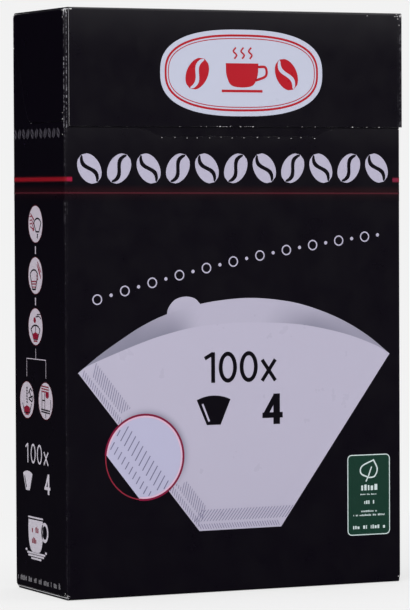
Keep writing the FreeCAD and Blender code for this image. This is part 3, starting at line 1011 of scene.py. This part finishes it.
def back_crease():
    """The board's own hinge: a thin strip across the back, a shallow round valley pressed into it. Row v
    lies at CREASE + v with a dip of 0.12 * exp(-(v / 0.5)^2)."""
    half, lift, above, bend = 2.2, 0.012, 0.12, 0.8
    rows = np.linspace(-half, half, 23)
    across = np.linspace(-HALF_WIDTH + FOLD, HALF_WIDTH - FOLD, 41)
    dip = 0.12 * np.exp(-(rows / 0.5) ** 2)
    fade = 0.05 * np.minimum(1.0, (half - np.abs(rows)) / 0.6)
    u, v = np.meshgrid(-across, rows)
    y = HALF_DEPTH + lift + (fade - 0.3 * dip)[:, None] + np.zeros_like(u)
    y = np.maximum(y, HALF_DEPTH + lift)
    points = np.stack([u, y, CREASE + above + v], 2).reshape(-1, 3)
    quads = grid_quads(len(rows) - 1, len(across))
    tone = np.repeat(np.exp(-(rows / 0.45) ** 2), len(across))
    strip = [(points, [quads], tone)]
    piece = make_mesh("back_crease_board", strip, crease_print, None)
    y, z = HALF_DEPTH * MM, (CREASE + above) * MM
    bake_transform(piece)


def fan_outline(radius, foot, tab):
    """A filter's outline on its side, x along its axis: a foot, two straight sides, and the crown's
    arc of this radius about a point on the axis, with a round tab where asked."""
    shoulder = math.degrees(math.asin(94.2 / radius))
    rim = arc((-73.5, 96.0), radius, -shoulder, shoulder, 15)
    if tab:
        bump = arc((53.6, 127.5), 10.6, -22, 62, 5)
        rim = np.vstack([rim[rim[:, 1] < 119.0], bump, rim[rim[:, 1] > 136.5]])
    heel = np.array([(foot + 2.5, 121.5), (foot, 118.5), (foot, 73.5), (foot + 2.5, 70.5)])
    return np.vstack([rim, heel])


def filter_sheets():
    """A hundred filters on edge. Each is two thin closed sheets, the front one cut lower, and each
    filter has its own small shift, so that the pack's edges are not in one line."""
    dice = seeded(11)
    pitch = PACK_DEPTH / FILTERS
    outlines = [(fan_outline(136.7, -64.1, True), 0.0), (fan_outline(132.2, -64.1, False), 0.5)]
    points, faces, start = [], [], 0
    for k in range(FILTERS):
        shift = dice.normal(0, 1, 2).clip(-2, 2) * (0.22, 0.2)
        lean = dice.normal(0, 0.08)
        for outline, step in outlines:
            flat = turned(outline, lean, (-64.0, 96.0)) + shift + (0.1, 0.0)
            flat[:, 0] = flat[:, 0].clip(-64.9, 64.0)
            y = PACK_FRONT + (k + 0.12 + step * 0.9) * pitch
            for depth in (y, y + SHEET):
                points.append(np.insert(flat, 1, depth, axis=1))
            n = len(flat)
            edge = start + np.arange(n)
            after = np.roll(edge, -1)
            faces.append(edge.tolist())
            faces.append((n + edge[::-1]).tolist())
            faces.extend(np.stack([edge, edge + n, after + n, after], 1).tolist())
            start += 2 * n
    piece = add_piece("filter_sheets", np.vstack(points), faces, filter_paper("crepe_filter_paper"))
    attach(piece, "carton")
    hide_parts("filter_stack")


def dress_cad(node, material):
    """The CAD node keeps its shape and takes this material in every slot."""
    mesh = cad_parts[node].data
    if len(mesh.materials) == 0:
        mesh.materials.append(material)
    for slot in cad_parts[node].material_slots:
        slot.material = material


def stand(name, data, axes, place):
    """A camera or lamp at a place, with its own three axes along these."""
    thing = bpy.data.objects.new(name, data)
    bpy.context.collection.objects.link(thing)
    turn = Matrix([(*row, 0.0) for row in np.stack(axes, 1)] + [(0, 0, 0, 1)])
    turn.translation = place
    thing.matrix_world = turn
    return thing


def camera():
    """A long lens a little left of the front and nearly level, as in the photograph."""
    az, el, roll = np.radians(EYE_ANGLES).tolist()
    ahead = np.array([-math.sin(az) * math.cos(el), math.cos(az) * math.cos(el), -math.sin(el)])
    level = np.array([math.cos(az), math.sin(az), 0.0])
    up = np.cross(level, ahead)
    right = math.cos(roll) * level + math.sin(roll) * up
    above = -math.sin(roll) * level + math.cos(roll) * up
    lens = bpy.data.cameras.new("camera")
    lens.lens = LENS
    lens.sensor_width = 36.0
    lens.clip_start = 0.05
    lens.clip_end = 50.0
    bpy.context.scene.camera = stand("camera", lens, [right, above, -ahead], EYE)


def room():
    """A pale room. Lit surfaces get an even fill from it; the varnish mirrors a dimmer grey of it,
    paler overhead than at eye level, and dark behind."""
    world = bpy.data.worlds.new("pale_room")
    bpy.context.scene.world = world
    world.use_nodes = True
    w = Wires(world.node_tree)
    world.node_tree.nodes.clear()
    path = w.node("ShaderNodeLightPath").outputs
    seen = w.most(path["Is Camera Ray"], path["Is Transmission Ray"])
    x, y, up = w.split(w.node("ShaderNodeTexCoord").outputs["Generated"])
    eye_level = w.times(w.ramp(x, 0.1, 0.6, 0.004, 0.042), w.ramp(y, -0.1, 0.5, 1.0, 0.1))
    above = w.ramp(up, w.ramp(y, -0.2, 0.5, 0.09, 0.35), w.ramp(y, -0.2, 0.5, 0.43, 0.80))
    overhead = w.times(above, w.ramp(x, -0.35, 0.25, 0.15, 1.0))
    dome = w.math("ADD", eye_level, overhead)
    level = w.blend(path["Is Glossy Ray"], (0.50, 0.50, 0.50), dome)
    back = w.node("ShaderNodeBackground")
    w.put(back.inputs["Color"], w.blend(seen, level, PALE_ROOM))
    w.put(back.inputs["Strength"], 1.0)
    out = w.node("ShaderNodeOutputWorld")
    w.put(out.inputs["Surface"], back.outputs[0])


def floor_paper():
    """Pale paper that fades into the room's tone with distance. Mirrored, it is a dull dark grey."""
    material, w, shader, place = shading("floor_paper")
    grain = w.noise(place["Object"], 60.0, 3.0)
    w.surface(shader, w.blend(grain, (0.89, 0.89, 0.89), (0.91, 0.91, 0.91)), 0.9, 0.0)
    path = w.node("ShaderNodeLightPath").outputs
    away = w.vector("LENGTH", place["Object"], out="Value")
    fade = w.times(w.ramp(away, 0.05, 0.28, 0.74, 1.0), path["Is Camera Ray"])
    seen = w.mix_shaders(fade, shader.outputs[0], w.emission(PALE_ROOM))
    mirrored = w.mix_shaders(path["Is Glossy Ray"], seen, w.emission((0.018, 0.018, 0.018)))
    w.put(material.node_tree.nodes["Material Output"].inputs["Surface"], mirrored)
    return material


def floor():
    """A flat pale floor, 12 m square and 0.2 mm below the carton. It keeps the carton's shadow."""
    n = 25
    side = np.linspace(-6000.0, 6000.0, n)
    x, y = np.meshgrid(side, side)
    points = np.stack([x.ravel(), y.ravel(), np.full(n * n, -0.2)], 1)
    piece = add_piece("studio_floor", points, grid_quads(n - 1, n).tolist(), floor_paper())


def lamp(name, place, size, watts):
    """A rectangular softbox at a place, turned to the lamps' aim."""
    light = bpy.data.lights.new(name, "AREA")
    light.shape = "RECTANGLE"
    light.size, light.size_y = size
    light.energy = watts
    away = np.subtract(place, LAMP_AIM)
    away = away / np.linalg.norm(away)
    right = np.cross((0.0, 0.0, 1.0), away)
    right = right / np.linalg.norm(right)
    stand(name, light, [right, np.cross(away, right), away], place)


camera()
room()
floor()
for settings in LAMPS:
    lamp(*settings)

middle_z = HEIGHT / 2 * MM
# Painted shade: the body's cut edges, which face the tear slit, take the ink's black up to 0.44 mm into
# the 0.5 mm board.
body_board = carton_board(
    "black_varnished_board", centre=(0.0, 0.0, middle_z), half_size=(0.06575, 0.02375, middle_z),
    reach=0.0012, amount=-0.10, scored=(0.060, 0.056, 0.067), crown=0.155, ink_lip_and_shade=(0.00024, 0.00044))
lid_board = carton_board(
    "black_varnished_lid_board", centre=(0.0, -0.00025, middle_z),
    half_size=(0.06575, 0.0240, middle_z), reach=0.0010, amount=-0.02,
    scored=(0.78, 0.76, 0.84), crown=0.190, ink_lip_and_shade=(0.00024, 0.00028))
dress_cad("carton_body", body_board)
dress_cad("carton_lid", lid_board)

stripes()
front_print()
filter_picture()
for settings in CRIMP_ROWS:
    crimps(*settings)
detail_ring()
numbers()
green_panel()
badge()
side_print()

INKS = {ink: print_ink(*settings) for ink, settings in INK_TABLE.items()}
for (ink, body), parts in SHEETS.items():
    make_mesh(ink + "_" + body + "_print", parts, INKS[ink], body)

tear_seam()
crease_print = print_ink("pressed_crease_print", INK_BLACK, (0.030, 0.027, 0.033), 0.42)
back_crease()
torn = bare_fibre("torn_board_fibre")
lid_flecks, body_flecks = tear_flecks()
make_mesh("lid_torn_flecks", lid_flecks, torn, "lid")
make_mesh("body_torn_flecks", body_flecks, torn, "carton")
filter_sheets()

bpy.context.scene.view_settings.view_transform = "Standard"
bpy.context.view_layer.update()
